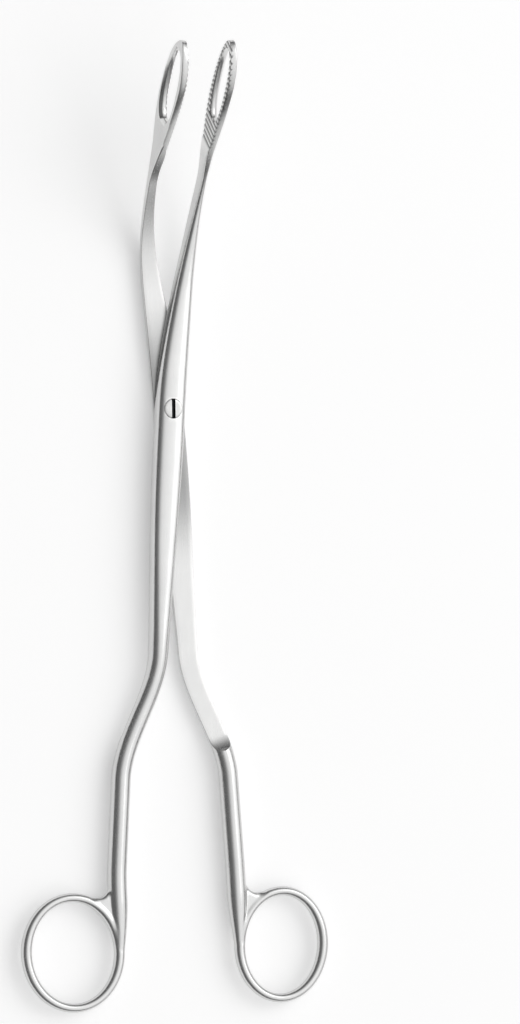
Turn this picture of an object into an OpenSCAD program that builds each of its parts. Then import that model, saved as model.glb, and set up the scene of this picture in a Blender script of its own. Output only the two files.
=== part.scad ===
// Placenta forceps: two curved steel arms that cross at a slotted pivot screw.
// X runs across the instrument, +Y towards the jaws and +Z up, away from the table.
// The origin is on the pivot axis, in the plane of the flat back that the forceps lies on.
// Each arm is worked out closed, then turned about the pivot to its resting opening.

/* [Lengths] */
// From the pivot to the jaw tips, measured along the curved shanks
jaw_reach = 116; // [112:0.5:122]
// From the pivot to the centre of the front arm's finger ring
front_handle_reach = 157.4; // [154:0.2:170]
// From the pivot to the centre of the rear arm's finger ring
rear_handle_reach = 156.4; // [154:0.2:170]

/* [Upward curve] */
// Distance from the pivot at which the shanks start to curve up
curve_start = 33.5; // [31:0.5:36]
// Radius of the curve
curve_radius = 63.5; // [60:0.5:68]
// Angle that the jaws end up leaning at
curve_deg = 36; // [32:0.5:38]

/* [Lap joint] */
// Width of an arm at the pivot
joint_w = 8.9; // [8:0.1:10]
// Thickness of each arm at the pivot
joint_t = 4; // [3.6:0.1:4.6]
// Length over which the arms keep their full thickness behind the pivot
joint_tail = 62; // [50:1:66]
// Running gap between the two flat ride faces
ride_gap = 0.04; // [0.02:0.01:0.08]
// Extra gap that opens between the shanks where they start to curve
curve_relief = 0.3; // [0.25:0.05:0.4]

/* [Pivot screw] */
// Diameter of the screw head
head_d = 5.5; // [5:0.1:6]
// Height of the cylindrical rim of the head
head_rim = 0.6; // [0.4:0.1:0.8]
// Height of the cone under the head
head_cone = 0.9; // [0.7:0.1:1.1]
// Diameter of the screw body
screw_d = 3.6; // [3.2:0.1:4]
// Width of the driver slot
slot_w = 1.1; // [0.8:0.1:1.3]
// Depth of the driver slot
slot_depth = 0.8; // [0.6:0.1:1]
// Height of the crowned head over the front arm
head_proud = 0.2; // [0.1:0.05:0.3]
// Running clearance round the screw in the front arm
screw_clear = 0.03; // [0.02:0.01:0.06]

/* [Handles] */
// Diameter of the round handle shanks
shank_d = 5.7; // [5.2:0.1:6.2]
// How far each handle shank stands out from the middle when the forceps is closed
handle_out = 9.7; // [9:0.1:11]
// How far each arm has moved out just before its handle bends out
tail_out = 0.3; // [0:0.1:0.6]
// Distance from the pivot at which the handles start to bend out
bend_start = 70.5; // [68:0.5:74]
// Distance from the pivot at which the bend ends
bend_end = 107; // [104:1:112]
// Distance from the pivot at which the milled flat starts to run out
flat_end = 93.5; // [91:0.5:96]
// Radius of the cutter that leaves the run-out
flat_runout_r = 7; // [5:0.5:9]

/* [Finger rings] */
// From the middle to the centre of each ring when the forceps is closed
ring_out = 22; // [21:0.5:24]
// Width of the hole in the front arm's ring
front_hole_w = 25; // [22:0.2:26]
// Length of the hole in the front arm's ring
front_hole_l = 29; // [27:0.5:31]
// Lean of the front arm's ring
front_ring_lean = 8; // [0:1:10]
// Width of the hole in the rear arm's ring
rear_hole_w = 22.2; // [20:0.2:24]
// Length of the hole in the rear arm's ring
rear_hole_l = 28.2; // [26:0.2:30]
// Lean of the rear arm's ring
rear_ring_lean = 8; // [0:1:10]
// Width of the ring's wire at its sides
wire_side = 3.2; // [2.9:0.1:3.6]
// Width of the ring's wire at its ends
wire_end = 2.7; // [2.4:0.1:3]
// Thickness of the ring's wire
wire_t = 3.6; // [3.2:0.1:4]
// Radius of the throat between the shank and its ring
throat_r = 3.6; // [3:0.2:4.4]

/* [Neck] */
// Width of the shank where it is thinnest, behind the jaw
neck_w = 2.4; // [2.1:0.1:2.8]
// Upper edge of the neck over the middle surface
neck_top = 2.7; // [2.4:0.1:3.2]
// Lower edge of the neck under the middle surface
neck_low = 1; // [0.6:0.1:1.4]
// How far each shank bows out from the middle when closed
bow = 3.8; // [3.4:0.1:4.2]
// Distance from the pivot at which the round side of each shank starts to slim
round_start = 37; // [34:0.5:40]
// Distance from the pivot at which the flat side of each shank leaves the lap face
flat_start = 42; // [40:0.5:45]
// How far past the start of the jaw the neck is at its thinnest
neck_at = 5; // [3:0.5:7]

/* [Jaws] */
// Angle that each jaw leans in, so that the tips meet first
toe_in = 2.8; // [1.6:0.1:3.2]
// Thickness of the jaw plate
jaw_t = 2.2; // [2:0.1:2.6]
// Thickness that the plate thins down to at the very tip
tip_t = 1.3; // [1.1:0.1:1.7]
// Length over which the plate thins down to its tip
tip_thinning = 8; // [6:0.5:10]
// Upper edge of the jaw over the middle surface
jaw_top = 7.8; // [7.4:0.05:8.2]
// Lower edge of the jaw under the middle surface
jaw_low = 5.7; // [5.4:0.05:6.2]
// Length from the tip back to where the jaw starts to widen
jaw_len = 48.5; // [46:0.5:51]
// Length over which the upper edge of the jaw rises from the neck
rise_len = 37; // [34:0.5:38]
// Length over which the lower edge of the jaw falls from the neck
fall_len = 28; // [26:0.5:30]
// Length over which the neck flattens into the plate of the jaw
flatten_len = 25; // [22:0.5:28]
// Length over which the inner face lines up with the other jaw's
line_up_len = 13; // [12:0.5:15]
// Length over which the tip's upper corner is rounded
tip_up = 13.5; // [12:0.5:15]
// Length over which the tip's lower corner is rounded
tip_low = 20; // [18:0.5:21]
// Length of the window
window_len = 24; // [22:0.5:25]
// Height of the window
window_h = 9.1; // [8.2:0.1:9.6]
// Steel left between the window and the tip
tip_rim = 3.1; // [2.8:0.05:3.6]
// Width of the bevel round the window, on the outer face
window_bevel = 0.8; // [0.6:0.1:1]

/* [Teeth] */
// Distance from one tooth to the next
tooth_pitch = 1.6; // [1.4:0.05:1.8]
// Height of the teeth
tooth_h = 0.45; // [0.35:0.05:0.55]
// Length of the toothed face, from the tip back
tooth_len = 37; // [34:0.5:39]
// Gap between the meshed teeth when the forceps is closed
bite_gap = 0.06; // [0.04:0.01:0.1]

/* [Opening] */
// Angle between the arms at rest
rest_open = 7.2; // [5:0.2:9]

/* [Hidden] */

// Height of the middle surface over the table at the pivot
mid_z = joint_t;
// Number of points round the curved side of a shank section
ARC_POINTS = 20;
// Share of a full round section, a little under 1 so that no face vanishes
FULL_ROUND = 0.985;
// Squareness of the sections: 2 is an ellipse, more is squarer
SQUARE_JOINT = 5;
SQUARE_ROUND = 2;
SQUARE_NECK = 2.3;
SQUARE_JAW = 7;
SQUARE_TIP = 1.9;
SQUARE_WINDOW = 2.5;
// Share of the rounded tip's length at which the last section stands
TIP_SHARE = 0.985;
// Spare length of every cutter past the steel that it cuts
SPARE = 1;
// Points round a wire section, steps round a ring and points round a window
WIRE_POINTS = 14;
RING_STEPS = 48;
WINDOW_STEPS = 40;
// How deep the throat's web reaches into the steel of the ring and the shank
throat_depth = 8;
// Steel that the tooth cutter takes off the inner face of each jaw
FACE_STOCK = 0.2;
// Lengths over which a shank swings out to its ring and thins down to the ring's wire
ring_swing = 26;
ring_thinning = 16;
// Lengths over which a section changes from square to round and from round to plate
square_from = 12;
round_from = 30;
plate_len = 15;

// Where along the curve the jaw starts to widen, and where its rounded tip starts
jaw_start = jaw_reach - jaw_len;
tip_start = jaw_reach - max(tip_up, tip_low);
// Where the shanks stand out furthest from the middle
bow_end = jaw_start - tip_rim;
// Centre of the window along the curve, and the middle of the jaw's height
window_at = jaw_reach - tip_rim - window_len / 2;
jaw_mid = (jaw_top - jaw_low) / 2;
// How far the teeth of each jaw reach past the middle, between those of the other
mesh_in = (tooth_h - bite_gap) / 2;
face_in = mesh_in + FACE_STOCK;
jaw_half = (jaw_t + face_in) / 2;
// Length over which the milled flat runs out
runout_len = sqrt(pow(flat_runout_r, 2) - pow(flat_runout_r - shank_d / 2, 2));

// A smooth step from a to b while v goes from v0 to v1
function ease(v, v0, v1, a, b) =
    let (t = max(0, min(1, (v - v0) / (v1 - v0)))) a + (b - a) * t * t * (3 - 2 * t);

// A power that keeps the sign, for squared-off ellipses
function spow(v, p) = sign(v) * pow(abs(v), p);

// Distances from a up to, but not with, b in n equal steps
function span(a, b, n) = [for (i = [0:n - 1]) a + (b - a) * i / n];

// Middle surface: its lean at the distance s along it, and the place of its points
function lean(s) = max(0, min(curve_deg, (s - curve_start) / curve_radius * 180 / PI));
function past_curve(s) = max(0, s - curve_start - curve_radius * curve_deg * PI / 180);
function mid_y(s) =
    min(s, curve_start) + curve_radius * sin(lean(s)) + past_curve(s) * cos(curve_deg);
function mid_h(s) =
    mid_z + curve_radius * (1 - cos(lean(s))) + past_curve(s) * sin(curve_deg);

// A point x across, s along and n above the middle surface
function on_arm(x, s, n) = [x, mid_y(s) - n * sin(lean(s)), mid_h(s) + n * cos(lean(s))];

// How far the leaning jaw face stands out from the middle
function face_x(s) = (jaw_reach - s) * tan(toe_in);

// How far the closed arm's centre line lies towards its own jaw's side.
// ring_x is how far out the shank runs at its ring's height.
function centre_x(s, ring_x, reach) =
    s >= 0
    ? let (k = ease(s, bow_end, jaw_start + line_up_len, 0, 1))
        ease(s, 0, bow_end, 0, bow) * (1 - k) + (face_x(s) + half_w(s, reach) - face_in) * k
    : ease(-s, reach - ring_swing, reach, 0, handle_out - ring_x)
        - ease(-s, 0, 40, 0, tail_out) - ease(-s, bend_start, bend_end, 0, handle_out - tail_out);

// Angle that the centre line turns off the arm's length
function turn(s, ring_x, reach) =
    atan(centre_x(s + 0.5, ring_x, reach) - centre_x(s - 0.5, ring_x, reach));

// How far the plate has thinned down, from 0 to 1, while t goes from 0 to 1 at the tip
function thinned(t) = 1 - sqrt(max(0, 1 - t * t));

// Half of the shank's width
function half_w(s, reach) =
    s >= 0
    ? ease(s, 0, jaw_start + neck_at, joint_w / 2, neck_w / 2)
        + ease(s, jaw_start + neck_at, jaw_start + flatten_len, 0, jaw_half - neck_w / 2)
        - (jaw_t - tip_t) / 2 * thinned(max(0, s - jaw_reach + tip_thinning) / tip_thinning)
    : ease(-s, joint_w, bend_start + square_from, joint_w / 2, shank_d / 2)
        - ease(-s, reach - ring_thinning, reach + wire_end, 0, (shank_d - wire_side) / 2 + FACE_STOCK);

// Half of the gap between the two arms
function half_gap(s) =
    ride_gap / 2 + ease(s, curve_start - 4, curve_start + 14, 0, curve_relief / 2);

// Squareness of the section
function square_at(s) =
    s >= 0
    ? ease(s, square_from, bow_end, SQUARE_JOINT, SQUARE_NECK)
        + ease(s, jaw_start, jaw_start + plate_len, 0, SQUARE_JAW - SQUARE_NECK)
    : ease(-s, round_from, bend_start + square_from, SQUARE_JOINT, SQUARE_ROUND);

// Thickness of an arm behind the pivot, on its own side of the middle surface
function side_t(s, reach) =
    ease(-s, joint_tail, bend_start + 24, joint_t, shank_d / 2)
        - ease(-s, reach - ring_thinning, reach + wire_end, 0, (shank_d - wire_t) / 2 + FACE_STOCK);

// How high the milled flat has run out behind the pivot
function runout(s) =
    let (d = min(flat_runout_r, max(0, -s - flat_end)))
    flat_runout_r - sqrt(pow(flat_runout_r, 2) - d * d);

// An edge of the jaw, drawn in towards the jaw's middle over the length of its rounded tip
function tipped(s, edge, length) =
    let (t = max(0, (s - jaw_reach + length) / length))
    jaw_mid + (edge - jaw_mid) * pow(max(0, 1 - pow(t, SQUARE_TIP)), 1 / SQUARE_TIP);

// Upper and lower edge of a section in front of the pivot, from where it leaves the joint
function upper_edge(s, from, start) =
    tipped(s, ease(s, start, jaw_start, from, neck_top)
        + ease(s, jaw_start, jaw_start + rise_len, 0, jaw_top - neck_top), tip_up);
function lower_edge(s, from, start) =
    tipped(s, ease(s, start, jaw_start, from, -neck_low)
        - ease(s, jaw_start, jaw_start + fall_len, 0, jaw_low - neck_low), tip_low);

// Height of the flat side of a section and of its round side. The rear arm's flat is on top
function flat_side(s, rear, reach) =
    s < 0
    ? (rear ? 1 : -1) * min(runout(s) - half_gap(s), side_t(s, reach) * FULL_ROUND)
    : rear ? upper_edge(s, -half_gap(s), flat_start) : lower_edge(s, half_gap(s), flat_start);
function round_side(s, rear, reach) =
    s < 0
    ? (rear ? -1 : 1) * side_t(s, reach)
    : rear ? lower_edge(s, -joint_t, round_start) : upper_edge(s, joint_t, round_start);

// How far the section's centre lies in from its flat side, as a share of its height
function roundness(s, rear, reach) =
    s < 0
    ? let (flat = abs_flat(s, rear, reach)) flat / (flat + side_t(s, reach))
    : ease(s, jaw_start, jaw_start + plate_len, 0, FULL_ROUND / (1 + FULL_ROUND));
function abs_flat(s, rear, reach) = (rear ? 1 : -1) * flat_side(s, rear, reach);

// Points of the section at the distance s: a squared-off ellipse with one side cut flat
function section(s, rear, ring_x, reach) =
    let (
        side = rear ? -1 : 1,
        flat = flat_side(s, rear, reach),
        height = round_side(s, rear, reach) - flat,
        share = roundness(s, rear, reach),
        half_n = height * (1 - share),
        power = square_at(s),
        cut = asin(spow(share / (1 - share), power / 2)),
        angle = turn(s, ring_x, reach),
        half = half_w(s, reach)
    )
    [for (i = [0:ARC_POINTS])
        let (
            t = 180 - cut + (180 + 2 * cut) * i / ARC_POINTS,
            across = half * spow(cos(t), 2 / power),
            n = flat + height * share - half_n * spow(sin(t), 2 / power)
        )
        on_arm(side * (centre_x(s, ring_x, reach) + across * cos(angle)),
            s - across * sin(angle), n)];

// Distances of the sections from the ring's end to the jaw's tip
function stations(reach) = concat(
    span(-reach - 3, -bend_end, 16),
    span(-bend_end, -flat_end - runout_len, 4),
    span(-flat_end - runout_len, -flat_end, 8),
    span(-flat_end, -bend_start, 12),
    span(-bend_start, 0, 12),
    span(0, curve_start, 6),
    span(curve_start, jaw_start, 16),
    span(jaw_start, tip_start, 14),
    [for (i = [0:9]) tip_start + (jaw_reach - tip_start) * TIP_SHARE * sin(10 * i)]);

// A skin over rings of points, with a cap at each end or closed on itself
module skin(rings, closed = false) {
    m = len(rings[0]);
    count = len(rings);
    last = closed ? count - 1 : count - 2;
    sides = [for (i = [0:last], j = [0:m - 1])
        let (a = i * m, b = ((i + 1) % count) * m, k = (j + 1) % m)
        each [[a + j, b + k, a + k], [a + j, b + j, b + k]]];
    caps = closed ? [] : [[for (j = [0:m - 1]) j], [for (j = [m - 1:-1:0]) (count - 1) * m + j]];
    polyhedron([for (ring = rings) each ring], concat(sides, caps), convexity = 10);
}

// The forged and milled bar of an arm, from its ring to its jaw
module bar(rear, ring_x, reach) {
    skin([for (s = stations(reach)) section(s, rear, ring_x, reach)]);
}

// Half axes of the outer edge of a ring
function outer_a(hole_w) = hole_w / 2 + wire_side;
function outer_b(hole_l) = hole_l / 2 + wire_end;

// Direction square to an ellipse with the half axes a and b
function square_off(t, a, b) = let (v = [cos(t) / a, sin(t) / b]) v / norm(v);

// Section of the ring's wire at the angle t
function wire_section(t, hole_w, hole_l) =
    let (
        a = hole_w / 2,
        b = hole_l / 2,
        out = square_off(t, a, b),
        wide = wire_end + (wire_side - wire_end) * pow(cos(t), 2),
        centre = [a * cos(t), b * sin(t)] + out * wide / 2
    )
    [for (j = [0:WIRE_POINTS - 1])
        let (p = 360 * j / WIRE_POINTS, q = centre + out * wide / 2 * cos(p))
        [q[0], q[1], -wire_t / 2 * sin(p)]];

// The wire loop of a ring round its own centre
module wire_loop(hole_w, hole_l) {
    skin([for (i = [0:RING_STEPS - 1]) wire_section(360 * i / RING_STEPS, hole_w, hole_l)],
        closed = true);
}

// Where along the arm the throat's web stands
function throat_s(reach) = -reach + front_hole_l / 2 + throat_r;

// Angle at which a circle of the throat's radius, with its centre edge_x out, meets the ring
function throat_at(edge_x, a, b, lo = 20, hi = 90, n = 20) =
    let (t = (lo + hi) / 2, x = a * cos(t) + throat_r * square_off(t, a, b)[0])
    n == 0 ? t : x > edge_x ? throat_at(edge_x, a, b, t, hi, n - 1)
    : throat_at(edge_x, a, b, lo, t, n - 1);

// The web that fills the corner between ring and shank. edge_x is the shank's outer edge
module throat(hole_w, hole_l, edge_x) {
    a = outer_a(hole_w);
    b = outer_b(hole_l);
    t = throat_at(edge_x - throat_r, a, b);
    out = square_off(t, a, b);
    from = atan2(-out[1], -out[0]) - 12;
    difference() {
        translate([a * cos(t) + throat_r * out[0], b * sin(t) + throat_r * out[1], 0])
            rotate_extrude(angle = 12 - from, start = from, $fn = 48)
                throat_profile();
        linear_extrude(2 * wire_t, center = true)
            polygon([for (i = [0:RING_STEPS - 1]) let (p = 360 * i / RING_STEPS)
                [(a - wire_side / 2) * cos(p), (b - wire_end / 2) * sin(p)]]);
        translate([edge_x + shank_d / 3, 0, -wire_t])
            cube([2 * throat_depth, 2 * b, 2 * wire_t]);
    }
}

// Half of the throat's section: a rounded nose that thickens into the steel behind it
module throat_profile() {
    nose = wire_t / 2 - 0.3;
    translate([throat_r + nose, 0])
        circle(nose, $fn = 32);
    translate([throat_r + nose, -nose])
        square([throat_depth - nose, 2 * nose]);
}

// A finger ring with its throat. The shank comes down on its +X side
module finger_ring(hole_w, hole_l, tilt, edge_x) {
    rotate([0, 0, tilt])
        wire_loop(hole_w, hole_l);
    throat(hole_w, hole_l, edge_x);
}

// Outline of the window, grown by the margin
function window_ring(margin) =
    [for (i = [0:WINDOW_STEPS - 1])
        let (t = 360 * i / WINDOW_STEPS)
        [(window_len / 2 + margin) * spow(cos(t), 2 / SQUARE_WINDOW),
            (window_h / 2 + margin) * spow(sin(t), 2 / SQUARE_WINDOW)]];

// Sets its children in the frame of the jaw: Y towards the tip, Z up the jaw's height
module on_jaw() {
    translate([0, mid_y(window_at), mid_h(window_at)])
        rotate([lean(window_at), 0, 0])
            translate([0, jaw_reach - window_at, 0])
                rotate([0, 0, toe_in])
                    translate([0, window_at - jaw_reach, 0])
                        children();
}

// The cutter of the window, with the bevel on the outer face. The jaw lies towards +X
module window_cutter() {
    slope = window_bevel + SPARE;
    layers = [[-SPARE, 0], [jaw_t - window_bevel, 0], [jaw_t + SPARE, slope]];
    translate([0, 0, jaw_mid])
        skin([for (layer = layers)
            [for (p = window_ring(layer[1])) [layer[0], p[0], p[1]]]]);
}

// The cutter of the jaw's inner face: ridges across the jaw, shifted by a share of their
// pitch so that those of the two jaws mesh. The jaw lies towards +X
module tooth_cutter(shift) {
    tip = jaw_reach - window_at;
    first = tip + SPARE - shift * tooth_pitch;
    half_teeth = 2 * floor((tooth_len + SPARE) / tooth_pitch);
    back = window_at - jaw_start;
    linear_extrude(3 * jaw_top, center = true)
        polygon(concat(
            [[-jaw_t, tip + 2 * SPARE + tooth_pitch], [-mesh_in, tip + 2 * SPARE + tooth_pitch]],
            [for (i = [0:half_teeth]) [(i % 2) * tooth_h - mesh_in, first - i * tooth_pitch / 2]],
            [[-mesh_in, -back], [-jaw_t, -back]]));
}

// Cuts the teeth and the window out of the bar. The jaw lies towards +X
module jaw_cutters(shift) {
    on_jaw() {
        tooth_cutter(shift);
        window_cutter();
    }
}

// The front arm: its ring is on the left and its jaw on the right, and the screw turns in it
module front_arm() {
    ring_x = ring_out - front_hole_w / 2 - wire_side / 2;
    edge = ring_out + centre_x(throat_s(front_handle_reach), ring_x, front_handle_reach) - shank_d / 2;
    color([0.80, 0.81, 0.83])
        rotate([0, 0, -rest_open / 2])
            difference() {
                union() {
                    bar(false, ring_x, front_handle_reach);
                    translate([-ring_out, -front_handle_reach, mid_z])
                        finger_ring(front_hole_w, front_hole_l, front_ring_lean, edge);
                }
                jaw_cutters(0);
                screw_seat();
            }
}

// The rear arm: its ring is on the right and its jaw on the left, and it holds the screw
module rear_arm() {
    ring_x = ring_out - rear_hole_w / 2 - wire_side / 2;
    edge = ring_out + centre_x(throat_s(rear_handle_reach), ring_x, rear_handle_reach) - shank_d / 2;
    color([0.74, 0.75, 0.77])
        rotate([0, 0, rest_open / 2])
            difference() {
                union() {
                    bar(true, ring_x, rear_handle_reach);
                    translate([ring_out, -rear_handle_reach, mid_z])
                        mirror([1, 0, 0])
                            finger_ring(rear_hole_w, rear_hole_l, rear_ring_lean, edge);
                }
                mirror([1, 0, 0])
                    jaw_cutters(0.5);
                translate([0, 0, -SPARE])
                    cylinder(h = joint_t + 2 * SPARE, d = screw_d, $fn = 64);
            }
}

// The stepped hole of the front arm: a running bore with a cone and a round seat over it
module screw_seat() {
    top = mid_z + joint_t;
    bore = screw_d + 2 * screw_clear;
    seat = head_d + 2 * screw_clear;
    translate([0, 0, mid_z - SPARE])
        cylinder(h = joint_t + SPARE, d = bore, $fn = 64);
    translate([0, 0, top - head_rim - head_cone - screw_clear])
        cylinder(h = head_cone, d1 = bore, d2 = seat, $fn = 64);
    translate([0, 0, top - head_rim - screw_clear])
        cylinder(h = head_rim + screw_clear + SPARE, d = seat, $fn = 64);
}

// The pivot screw, with its end ground flush with the back of the rear arm
module pivot_screw() {
    top = mid_z + joint_t;
    color([0.66, 0.67, 0.69])
        difference() {
            union() {
                cylinder(h = top - head_rim, d = screw_d, $fn = 64);
                translate([0, 0, top - head_rim - head_cone])
                    cylinder(h = head_cone, d1 = screw_d, d2 = head_d, $fn = 64);
                translate([0, 0, top - head_rim])
                    cylinder(h = head_rim, d = head_d, $fn = 64);
                translate([0, 0, top])
                    cylinder(h = head_proud, d1 = head_d, d2 = head_d - 4 * head_proud, $fn = 64);
            }
            translate([-slot_w / 2, -head_d, top + head_proud - slot_depth])
                cube([slot_w, 2 * head_d, slot_depth + SPARE]);
        }
}

front_arm();
rear_arm();
pivot_screw();
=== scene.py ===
"""Placenta forceps: two curved stainless steel arms that cross at a slotted pivot screw.

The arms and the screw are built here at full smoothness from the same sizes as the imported
solids, and each takes the place of its own solid. All sizes are in millimetres until a piece
is finished, when its mesh is scaled to metres.
"""

import logging
import math
from collections.abc import Callable, Sequence
from dataclasses import dataclass, field
from enum import Enum

import bmesh
import bpy
from mathutils import Matrix, Vector
from mathutils.kdtree import KDTree


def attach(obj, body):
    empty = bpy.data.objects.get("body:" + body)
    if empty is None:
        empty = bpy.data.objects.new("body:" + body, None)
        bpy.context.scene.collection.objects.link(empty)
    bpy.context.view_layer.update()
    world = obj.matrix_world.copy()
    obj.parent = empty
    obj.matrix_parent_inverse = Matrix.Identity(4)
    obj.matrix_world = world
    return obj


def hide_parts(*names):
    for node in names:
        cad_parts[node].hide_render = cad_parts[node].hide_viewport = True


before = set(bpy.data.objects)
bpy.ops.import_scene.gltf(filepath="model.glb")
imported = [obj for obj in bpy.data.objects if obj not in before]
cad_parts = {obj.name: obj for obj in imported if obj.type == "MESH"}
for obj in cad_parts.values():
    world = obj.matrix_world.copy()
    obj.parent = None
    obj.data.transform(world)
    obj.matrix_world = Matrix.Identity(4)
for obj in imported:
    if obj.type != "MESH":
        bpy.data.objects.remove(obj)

LOG = logging.getLogger("forceps")
MM = 0.001
PAINTED_SHADE = "painted_shade"
WEAR_AND_HIGHLIGHT = "wear_and_highlight"
MERGE_MM = 0.002
SLIVER_MM = 0.0005
# Edges turning less than the first angle get no wear and no painted highlight, past the second
# they get all of it
WEAR_AND_HIGHLIGHT_DEG = (8, 32)
# Blender's noise lies mostly between these two values
NOISE_BAND = (0.3, 0.7)
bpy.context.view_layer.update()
Ring = list[Vector]


class Side(Enum):
    """The two arms. The value is the side of the middle on which the arm's jaw lies."""

    FRONT = 1
    REAR = -1


class Joining(Enum):
    """What is done with a second solid."""

    ADD = "UNION"
    CUT = "DIFFERENCE"


def linear(colour: str) -> tuple[float, float, float, float]:
    """Turns an sRGB hex colour into a linear one.

    Args:
        colour: Six hex digits after a hash sign.

    Returns:
        Linear red, green and blue, and an alpha of 1.
    """
    parts = [int(colour[i : i + 2], 16) / 255 for i in (1, 3, 5)]
    red, green, blue = [
        c / 12.92 if c <= 0.04045 else ((c + 0.055) / 1.055) ** 2.4 for c in parts
    ]
    return red, green, blue, 1.0


def ease(v: float, v0: float, v1: float, a: float, b: float) -> float:
    """A smooth step from a to b while v goes from v0 to v1."""
    t = max(0.0, min(1.0, (v - v0) / (v1 - v0)))
    return a + (b - a) * t * t * (3 - 2 * t)


def signed_power(v: float, p: float) -> float:
    """A power that keeps the sign, for squared-off ellipses."""
    return math.copysign(abs(v) ** p, v)


def add_node(
    tree: bpy.types.NodeTree,
    kind: str,
    settings: dict[str | int, object] | None = None,
    links: dict[str | int, bpy.types.NodeSocket] | None = None,
) -> bpy.types.Node:
    """Adds a node to a tree, with its settings and links.

    Args:
        tree: The tree of a material or of the world.
        kind: Blender's name of the node type.
        settings: Values of input sockets or of the node's own properties.
        links: For an input socket, the output socket that feeds it.

    Returns:
        The new node.
    """
    node = tree.nodes.new(kind)
    for name, value in (settings or {}).items():
        if isinstance(name, str) and name in node.bl_rna.properties:
            setattr(node, name, value)
        else:
            node.inputs[name].default_value = value
    for name, source in (links or {}).items():
        tree.links.new(source, node.inputs[name])
    return node


@dataclass(frozen=True)
class SteelFinish:
    """Wrought surgical stainless steel, and how its surface was finished.

    The steel is ground to shape, brushed with a fine belt and passivated, which leaves a
    bright silver-grey metal with a soft sheen and hair lines along the strokes of the belt.
    """

    name: str
    bright: str
    dull: str
    roughness: float
    roughness_spread: float
    stroke_mm: tuple[float, float, float]
    line_depth_mm: float
    line_strength: float = 0.35
    # Painted shade: the dark colour mixed in where grooves, the screw slot and the lap face lie
    # in shade
    shaded: str = "#202122"
    # Painted highlight: the light colour mixed in along sharp edges
    painted_highlight: str = "#EDEDEC"
    edge_polish: float = 0.12
    cloud_mm: float = 9.0

    def material(self) -> bpy.types.Material:
        """Builds the node material of this finish.

        Returns:
            A material that reads Object coordinates, so its strokes keep their real size.
        """
        steel = bpy.data.materials.new(self.name)
        steel.use_nodes = True
        tree = steel.node_tree
        tree.nodes.clear()
        place = add_node(tree, "ShaderNodeTexCoord").outputs["Object"]
        strokes = add_node(
            tree,
            "ShaderNodeMapping",
            {"Scale": [1 / (MM * size) for size in self.stroke_mm]},
            {"Vector": place},
        ).outputs["Vector"]
        lines = add_node(
            tree,
            "ShaderNodeTexNoise",
            {"Scale": 1.0, "Detail": 4.0, "Roughness": 0.6},
            {"Vector": strokes},
        ).outputs["Fac"]
        clouds = add_node(
            tree,
            "ShaderNodeTexNoise",
            {"Scale": 1 / (MM * self.cloud_mm), "Detail": 2.0, "Roughness": 0.5},
            {"Vector": place},
        ).outputs["Fac"]
        colour = add_node(
            tree,
            "ShaderNodeMix",
            {"data_type": "RGBA", 6: linear(self.dull), 7: linear(self.bright)},
            {0: clouds},
        ).outputs[2]
        # Painted shade: darkens the colour by the piece's painted-shade attribute
        painted_shade = add_node(
            tree, "ShaderNodeAttribute", {"attribute_name": PAINTED_SHADE, "attribute_type": "GEOMETRY"}
        ).outputs["Fac"]
        colour = add_node(
            tree,
            "ShaderNodeMix",
            {"data_type": "RGBA", 7: linear(self.shaded)},
            {0: painted_shade, 6: colour},
        ).outputs[2]
        # Sharp edges: a painted highlight in the colour, and smoother steel from wear in the
        # roughness
        wear_and_highlight = add_node(
            tree, "ShaderNodeAttribute", {"attribute_name": WEAR_AND_HIGHLIGHT, "attribute_type": "GEOMETRY"}
        ).outputs["Fac"]
        wear_and_highlight = add_node(
            tree, "ShaderNodeMath", {"operation": "MULTIPLY", "use_clamp": True},
            {0: wear_and_highlight, 1: clouds},
        ).outputs[0]
        colour = add_node(
            tree,
            "ShaderNodeMix",
            {"data_type": "RGBA", 7: linear(self.painted_highlight)},
            {0: wear_and_highlight, 6: colour},
        ).outputs[2]
        rough_lines = add_node(
            tree,
            "ShaderNodeMapRange",
            {
                "From Min": NOISE_BAND[0],
                "From Max": NOISE_BAND[1],
                "To Min": self.roughness - self.roughness_spread,
                "To Max": self.roughness + self.roughness_spread,
            },
            {"Value": lines},
        ).outputs["Result"]
        roughness = add_node(
            tree, "ShaderNodeMath", {"operation": "MULTIPLY_ADD", 1: -self.edge_polish},
            {0: wear_and_highlight, 2: rough_lines},
        ).outputs[0]
        bump = add_node(
            tree,
            "ShaderNodeBump",
            {"Strength": self.line_strength, "Distance": self.line_depth_mm * MM},
            {"Height": lines},
        ).outputs["Normal"]
        shader = add_node(
            tree,
            "ShaderNodeBsdfPrincipled",
            {"Metallic": 1.0},
            {"Base Color": colour, "Roughness": roughness, "Normal": bump},
        ).outputs["BSDF"]
        add_node(tree, "ShaderNodeOutputMaterial", None, {"Surface": shader})
        return steel


BELT_BRUSHED = SteelFinish(
    name="belt_brushed_stainless_steel",
    bright="#D9D9D8",
    dull="#CDCDCD",
    roughness=0.24,
    roughness_spread=0.05,
    # Real strokes are about 0.05 mm wide; they are drawn coarser so that they show
    stroke_mm=(0.35, 14.0, 0.35),
    line_depth_mm=0.004,
)
TURNED = SteelFinish(
    name="turned_stainless_steel",
    bright="#D4D4D3",
    dull="#C7C7C6",
    roughness=0.26,
    roughness_spread=0.05,
    stroke_mm=(0.3, 3.0, 0.3),
    line_depth_mm=0.004,
)


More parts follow.
